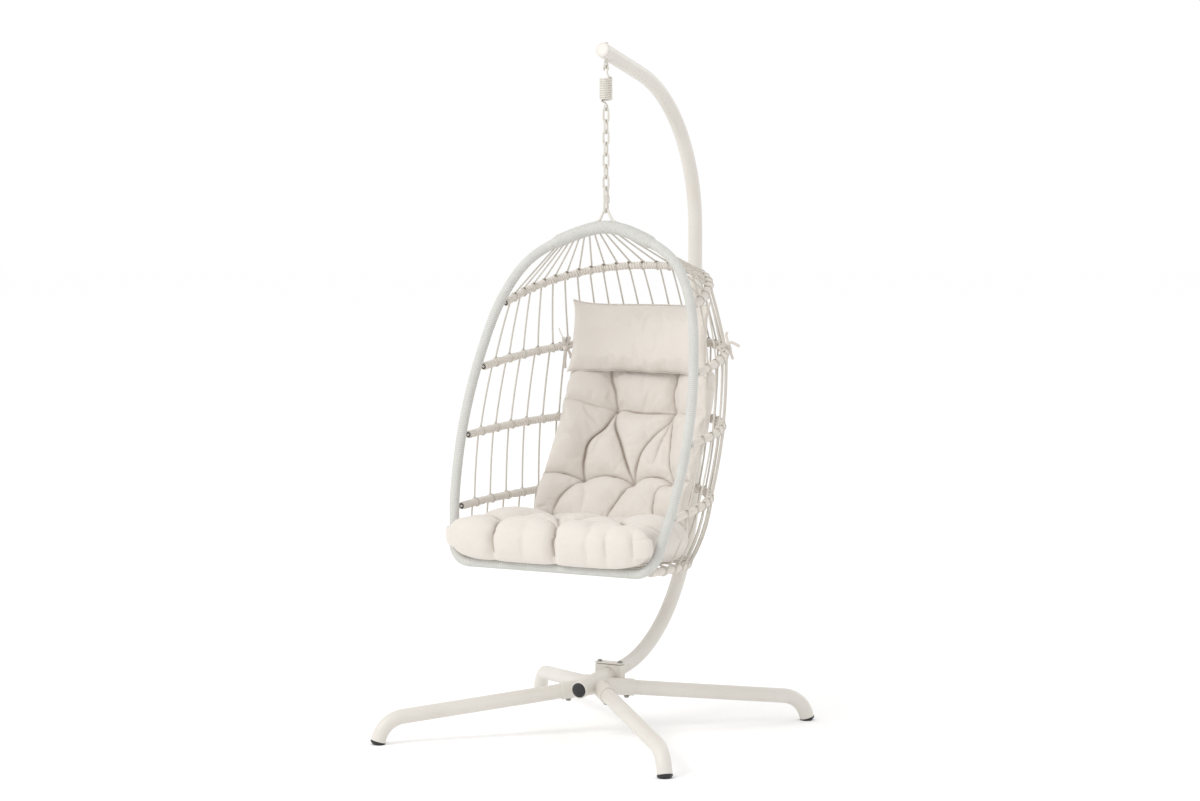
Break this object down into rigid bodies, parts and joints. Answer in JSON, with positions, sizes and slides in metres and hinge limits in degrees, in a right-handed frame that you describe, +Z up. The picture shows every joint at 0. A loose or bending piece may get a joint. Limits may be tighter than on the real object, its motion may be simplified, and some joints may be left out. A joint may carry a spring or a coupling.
{
  "type": "hanging egg chair",
  "caption": "Egg-shaped rope-laced basket seat with a tufted cushion and head pillow, hung by spring and chain from a bent tube stand on splayed feet.",
  "frame": {"origin": "middle of the footprint, on the floor under the feet", "axes": "+Z up, the sitter faces -Y, the pole stands behind the basket at +Y, +X to the sitter's left"},
  "size_m": [0.9402, 1.0982, 1.95],
  "materials": {
    "powder_coat": "satin warm off-white powder coat",
    "rope_wrapped_tube": "steel tube closely wound with matt off-white cord",
    "hardware": "zinc-plated steel",
    "end_cap": "black moulded plastic",
    "rope": "round polyethylene cord, off-white, matt",
    "cushion_cloth": "beige woven polyester over fibre filling"
  },
  "bodies": {
    "stand": {"base_hub": "powder_coat", "socket_plug": "end_cap", "leg_front_left": "powder_coat", "foot_cap_front_left": "end_cap", "leg_bolt_front_left": "hardware", "leg_front_right": "powder_coat", "foot_cap_front_right": "end_cap", "leg_bolt_front_right": "hardware", "leg_back_right": "powder_coat", "foot_cap_back_right": "end_cap", "leg_bolt_back_right": "hardware", "leg_back_left": "powder_coat", "foot_cap_back_left": "end_cap", "leg_bolt_back_left": "hardware", "pole_saddle": "powder_coat", "saddle_bolt_left": "hardware", "saddle_bolt_right": "hardware", "pole_lower": "powder_coat", "pole_upper": "powder_coat", "pole_joint_sleeve": "hardware", "pole_tip_cap": "end_cap", "hanger_eye": "powder_coat", "eye_nut": "powder_coat"},
    "spring": {"suspension_spring": "powder_coat"},
    "first_link": {"chain_link_1": "powder_coat"},
    "chain": {"chain_link_2": "powder_coat", "chain_link_3": "powder_coat", "chain_link_4": "powder_coat", "chain_link_5": "powder_coat", "chain_link_6": "powder_coat", "chain_link_7": "powder_coat"},
    "clip": {"quick_link": "powder_coat", "quick_link_nut": "powder_coat"},
    "basket": {"hanger_loop": "powder_coat", "hoop": "rope_wrapped_tube", "front_rail": "rope_wrapped_tube", "seat_frame": "rope_wrapped_tube", "rib_1": "rope_wrapped_tube", "rib_stud_1_left": "hardware", "rib_stud_1_right": "hardware", "rib_2": "rope_wrapped_tube", "rib_stud_2_left": "hardware", "rib_stud_2_right": "hardware", "rib_3": "rope_wrapped_tube", "rib_stud_3_left": "hardware", "rib_stud_3_right": "hardware", "rib_4": "rope_wrapped_tube", "rib_stud_4_left": "hardware", "rib_stud_4_right": "hardware", "rope_lacing": "rope", "seat_deck": "rope", "seat_cushion": "cushion_cloth", "head_pillow": "cushion_cloth", "pillow_tie_left": "cushion_cloth", "pillow_tie_right": "cushion_cloth"}
  },
  "joints": [
    {"name": "swing_fore_aft", "type": "hinge", "parent": "stand", "child": "spring", "pos_m": [0, -0.0309, 1.8812], "axis": [1, 0, 0], "range_deg": [-18, 7]},
    {"name": "spring_stretch", "type": "slide", "parent": "spring", "child": "first_link", "axis": [0, 0, -1], "range_m": [0, 0.03], "stiffness_N_per_m": 30000, "springref_m": -0.008, "deforming": ["suspension_spring"]},
    {"name": "swing_side", "type": "hinge", "parent": "first_link", "child": "chain", "pos_m": [0, -0.0309, 1.73], "axis": [0, 1, 0], "range_deg": [-10, 10]},
    {"name": "basket_swivel", "type": "hinge", "parent": "chain", "child": "clip", "pos_m": [0, -0.0309, 1.54], "axis": [0, 0, 1], "range_deg": [-24, 24]},
    {"name": "basket_tilt", "type": "hinge", "parent": "clip", "child": "basket", "pos_m": [0, -0.0309, 1.478], "axis": [1, 0, 0], "range_deg": [-8, 5]}
  ]
}
